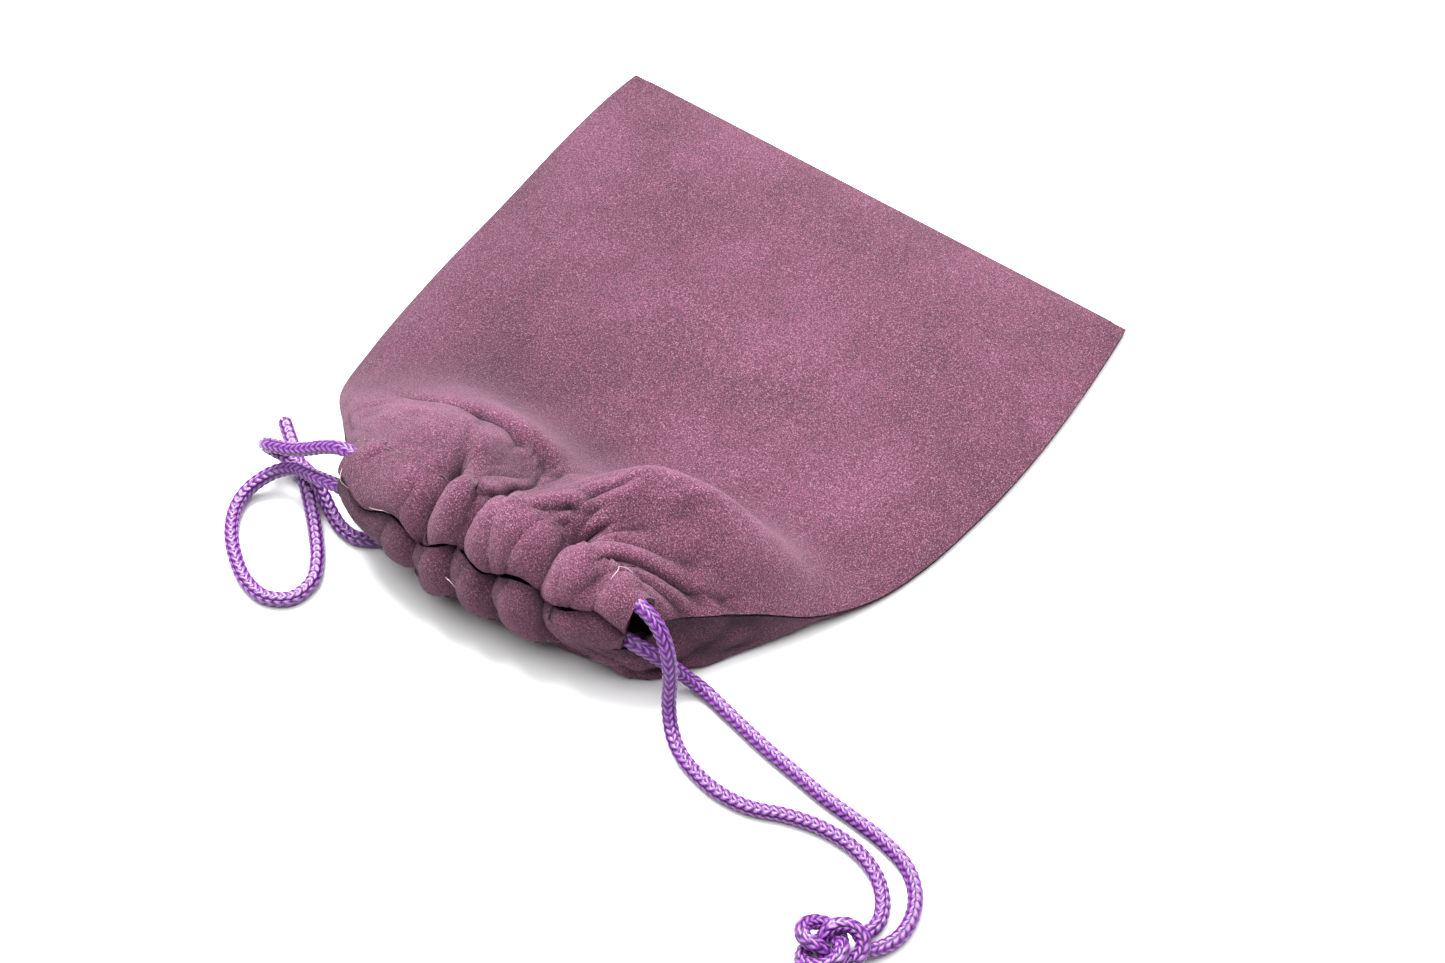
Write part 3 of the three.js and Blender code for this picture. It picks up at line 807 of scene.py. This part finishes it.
def refine(grid):
    """The same surface with a point halfway between every two."""
    for axis in (0, 1):
        rows = np.moveaxis(grid, axis, 0)
        wide = np.concatenate([2 * rows[:1] - rows[1:2], rows, 2 * rows[-1:] - rows[-2:-1]])
        between = (9 * (wide[1:-2] + wide[2:-1]) - wide[:-3] - wide[3:]) / 16
        fine = np.empty((2 * len(rows) - 1, *rows.shape[1:]))
        fine[::2], fine[1::2] = rows, between
        grid = np.moveaxis(fine, 0, axis)
    return grid


def grid_normals(grid, front):
    across = np.gradient(grid, axis=1)
    along = np.gradient(grid, axis=0)
    normal = np.cross(along, across) if front else np.cross(across, along)
    normal /= np.linalg.norm(normal, axis=2)[:, :, None] + 1e-9
    return -normal if normal[20, 60, 2] * (1 if front else -1) < 0 else normal


CASING_SWELL = 1.5
STITCH_ROW = 137.0
SEAM_THREAD = 0.4
CASING_THREAD = 0.3
LINT_DIAMETER = 0.16


def cloth_thickness():
    """Outer and inner thickness over the cloth: thin at its seams, swollen over the cords."""
    edge = np.minimum(FINE_ACROSS, CLOTH_WIDTH - FINE_ACROSS)[None, :]
    along = FINE_ALONG[:, None]
    rounding = 0.3 + 0.7 * (1 - np.exp(-edge / 1.6))
    rounding = rounding * (0.3 + 0.7 * (1 - np.exp(-along / 1.6)))
    swell = np.sqrt(np.clip(1 - ((along - 143) / 7.6) ** 2, 0, 1)) * (0.8 + 0.2 * (1 - np.exp(-edge / 6)))
    groove = 0.45 * np.exp(-(((along - CASING_ROW) / 1.2) ** 2)) + 0.3 * np.exp(-(((edge - 2.3) / 0.8) ** 2))
    outer = VELOUR_THICKNESS * rounding + CASING_SWELL * swell - groove
    inner = 0.15 + 0.9 * swell
    end = np.sqrt(np.clip((CLOTH_LENGTH - along) / 3.0, 0, 1))
    return outer * (0.3 + 0.7 * end), inner * (0.3 + 0.7 * end)


def cloth_piece(name, grid, normal, depth, rows, keep, nodes):
    """One panel's or casing's cloth as a closed shell: its outside, its inside and the edge between them."""
    outer, inner = cloth_thickness()
    count = grid.shape[0] * grid.shape[1]
    outside = (grid + normal * outer[:, :, None]).reshape(-1, 3)
    inside = (grid - normal * inner[:, :, None]).reshape(-1, 3)
    outside[:, 2] = np.maximum(outside[:, 2], 0.05)
    inside[:, 2] = np.maximum(inside[:, 2], 0.3)
    normals = normal.reshape(-1, 3)
    columns = grid.shape[1]
    cells = [(j, i) for j in range(*rows) for i in range(columns - 1) if keep[j, i]]
    edges, faces = {}, []
    flip = grid_turn(grid, normal)
    for j, i in cells:
        quad = [j * columns + i, j * columns + i + 1, (j + 1) * columns + i + 1, (j + 1) * columns + i]
        if flip:
            quad.reverse()
        faces.append(quad)
        for a, b in zip(quad, quad[1:] + quad[:1]):
            if (b, a) in edges:
                del edges[b, a]
            else:
                edges[a, b] = True
    skin = faces + [[k + count for k in reversed(quad)] for quad in faces]
    rim = [[b, a, a + count, b + count] for a, b in edges]
    used = sorted({k for face in skin + rim for k in face})
    place = {k: n for n, k in enumerate(used)}
    points = np.vstack([outside, inside])
    turned = np.vstack([normals, -normals])
    piece = mesh_object(name, points[used], [[place[k] for k in face] for face in skin + rim], VELOUR)
    # The fold depth, with the painted shade under the mouth, kept for the velour's painted fold shade.
    folds = piece.data.attributes.new("fold", "FLOAT", "POINT")
    folds.data.foreach_set("value", (0.5 + 0.5 * np.tile(depth.ravel(), 2)[used]).astype(np.float32))
    loops = np.array([turned[used[loop.vertex_index]] for loop in piece.data.loops])
    piece.data.normals_split_custom_set(loops.tolist())
    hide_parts(*nodes)
    follow_mouth(piece)
    return piece


def thread_tubes(name, runs, diameter, material, nodes):
    """Short pieces of thread, each a round-ended tube through its own run of points."""
    sides = 8
    vertices, faces = [], []
    angle = 2 * math.pi * np.arange(sides) / sides
    for run in runs:
        run = np.asarray(run, float)
        _, first, second = moving_frames(run)
        share = np.linspace(-1, 1, len(run))
        radius = diameter / 2 * np.sqrt(np.clip(1 - np.abs(share) ** 6, 0.12, 1))
        base = len(vertices)
        for point, a, b, r in zip(run, first, second, radius):
            ring = point + r * (np.cos(angle)[:, None] * a + np.sin(angle)[:, None] * b)
            vertices += ring.tolist()
        for j in range(len(run) - 1):
            for i in range(sides):
                k = (i + 1) % sides
                here, there = base + j * sides, base + (j + 1) * sides
                faces.append((here + i, here + k, there + k, there + i))
        last = base + (len(run) - 1) * sides
        faces.append(tuple(range(base, base + sides))[::-1])
        faces.append(tuple(range(last, last + sides)))
    piece = mesh_object(name, vertices, faces, material)
    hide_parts(*nodes)
    follow_mouth(piece)
    return piece


def follow_mouth(piece):
    """Bake the piece's placement into its mesh; it is attached to no body."""
    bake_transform(piece)


def stitches(line, length=2.0, gap=0.9, dip=0.35, down=(0, 0, 1)):
    """Running stitches along a line: each one rises out of the cloth and dips back in."""
    run = np.r_[0, np.cumsum(np.linalg.norm(np.diff(line, axis=0), axis=1))]
    found = []
    start = gap
    while start + length < run[-1]:
        at = np.linspace(start, start + length, 6)
        points = np.stack([np.interp(at, run, line[:, k]) for k in range(3)], axis=1)
        inward = np.stack([np.interp(at, run, down[:, k]) for k in range(3)], axis=1)
        arch = (np.linspace(-1, 1, 6) ** 4)[:, None]
        found.append(points - dip * arch * inward)
        start += length + gap
    return found


def grid_turn(grid, normal):
    across = grid[20, 61] - grid[20, 60]
    along = grid[21, 60] - grid[20, 60]
    return np.cross(across, along) @ normal[20, 60] < 0


front_grid, back_grid = panel_grid(True), panel_grid(False)
front_grid, back_grid = settle(front_grid, back_grid)
front_grid, back_grid = soften(front_grid, 14), soften(back_grid, 14)
front_grid, back_grid = refine(front_grid), refine(back_grid)
casing_start = int(round(CASING_ROW / FINE_ALONG[1]))
grids = {}
for panel, grid in (("front", front_grid), ("back", back_grid)):
    creases = FRONT_CREASES if panel == "front" else BACK_CREASES
    inward = grid_normals(soften(grid.copy(), 6), panel == "front")
    pulled = grid - inward * crease_depth(creases)[:, :, None]
    pulled[:, :, 2] = np.maximum(pulled[:, :, 2], 0.5)
    free = FINE_ALONG > SLIT_ROW
    pulled[~free, 0], pulled[~free, -1] = grid[~free, 0], grid[~free, -1]
    grid = pulled
    normal = grid_normals(grid, panel == "front")
    depth = fold_depth(grid, normal)
    # Painted shade: the back panel's colour is darkened under the mouth, added to its fold depth.
    if panel == "back":
        depth = np.clip(depth + UNDERSIDE_SHADE * np.clip((FINE_ALONG[:, None] - 98) / 14, 0, 1), -1, 1)
    centre = (grid[:-1, :-1, 0] + grid[1:, 1:, 0] + grid[:-1, 1:, 0] + grid[1:, :-1, 0]) / 4
    for side in ("left", "right"):
        keep = centre < MOUTH_CENTRE_X if side == "left" else centre >= MOUTH_CENTRE_X
        cloth_piece(
            f"{panel}_panel_velour_{side}", grid, normal, depth, (0, casing_start), keep,
            [f"{panel}_panel"])
        cloth_piece(
            f"{panel}_casing_velour_{side}", grid, normal, depth, (casing_start, len(FINE_ALONG) - 1), keep,
            [f"{panel}_casing_{side}"])
        row = int(round(STITCH_ROW / FINE_ALONG[1]))
        outer = cloth_thickness()[0]
        line = grid[row] + normal[row] * (outer[row] + 0.12)[:, None]
        here = (line[:, 0] < MOUTH_CENTRE_X) == (side == "left")
        thread_tubes(
            f"{panel}_casing_stitches_{side}", stitches(line[here], down=normal[row][here]),
            CASING_THREAD, THREAD, [f"{panel}_casing_thread_{side}"])
    grids[panel] = (grid, normal)

# The seams' own thread, between the panels.
inside = (grids["front"][0] + grids["back"][0]) / 2
for side, column in (("left", 5), ("right", len(FINE_ACROSS) - 6)):
    line = inside[10:110, column]
    level = np.tile((0.0, 0.0, 1.0), (len(line), 1))
    thread_tubes(
        f"{side}_seam_stitches", stitches(line, 2.4, 0.5, 0.2, level), SEAM_THREAD, THREAD,
        [f"{side}_seam_thread"])
line = inside[4, 5:-5]
level = np.tile((0.0, 0.0, 1.0), (len(line), 1))
thread_tubes(
    "bottom_seam_stitches", stitches(line, 2.4, 0.5, 0.2, level), SEAM_THREAD, THREAD,
    ["bottom_seam_thread"])


def loose_end(panel, across, along, drift, length, lift):
    """A bit of pale thread caught in the pile, from a place on the cloth, drifting across it."""
    grid, normal = grids[panel]
    count = 9
    points = []
    for step in np.linspace(0, 1, count):
        i = int(round((across + drift[0] * step * length) / FINE_ACROSS[1]))
        j = int(round((along + drift[1] * step * length) / FINE_ALONG[1]))
        i, j = min(max(i, 0), len(FINE_ACROSS) - 1), min(max(j, 0), len(FINE_ALONG) - 1)
        out = cloth_thickness()[0][j, i] + 0.15 + lift * math.sin(math.pi * step) ** 2
        points.append(grid[j, i] + normal[j, i] * out)
    points = np.array(points)
    return smooth_path(points[::2], 0.3)[0]


for number, (panel, across, along, drift, length, lift, side) in enumerate((
    ("front", 3, 146, (0.7, 0.7), 5.5, 0.7, "left"),
    ("back", 30, 146, (0.5, -0.8), 6.0, 1.0, "left"),
    ("back", 57, 147, (0.9, -0.4), 5.0, 0.8, "left"),
    ("front", 121, 134, (-0.2, 1.0), 7.0, 0.9, "right"),
    ("front", 16, 149, (1.0, 0.1), 5.0, 0.5, "left"),
)):
    thread_tubes(
        f"loose_thread_{number + 1}", [loose_end(panel, across, along, drift, length, lift)],
        LINT_DIAMETER, LINT, [])


# ---------------------------------------------------------------- stage and light

FLOOR_REACH = 20
ROOM_LIGHT = 0.17


def make_stage():
    material, nodes, links, shader = new_material("pale_floor", 0.85)
    shader.inputs["Base Color"].default_value = (0.54, 0.54, 0.545, 1)
    mesh = bpy.data.meshes.new("floor")
    far = FLOOR_REACH
    mesh.from_pydata([(-far, -far, 0), (far, -far, 0), (far, far, 0), (-far, far, 0)], [], [(0, 1, 2, 3)])
    mesh.materials.append(material)
    floor = bpy.data.objects.new("floor", mesh)
    bpy.context.scene.collection.objects.link(floor)
    world = bpy.data.worlds.new("soft_room")
    world.use_nodes = True
    world.node_tree.nodes["Background"].inputs["Color"].default_value = (1, 1, 1, 1)
    world.node_tree.nodes["Background"].inputs["Strength"].default_value = ROOM_LIGHT
    bpy.context.scene.world = world
    for name, kind, place, energy, size in (
        ("key", "AREA", (-0.30, 0.10, 0.76), 14.0, 0.32),
        ("overhead", "SUN", (-0.10, 0.15, 1.0), 9.0, math.radians(80)),
    ):
        data = bpy.data.lights.new(name, kind)
        data.energy = energy
        if kind == "SUN":
            data.angle = size
        else:
            data.size = size
        light = bpy.data.objects.new(name, data)
        light.location = place
        light.rotation_mode = "QUATERNION"
        light.rotation_quaternion = Vector(place).to_track_quat("Z", "Y")
        bpy.context.scene.collection.objects.link(light)


make_stage()
bpy.context.scene.view_settings.view_transform = "Standard"
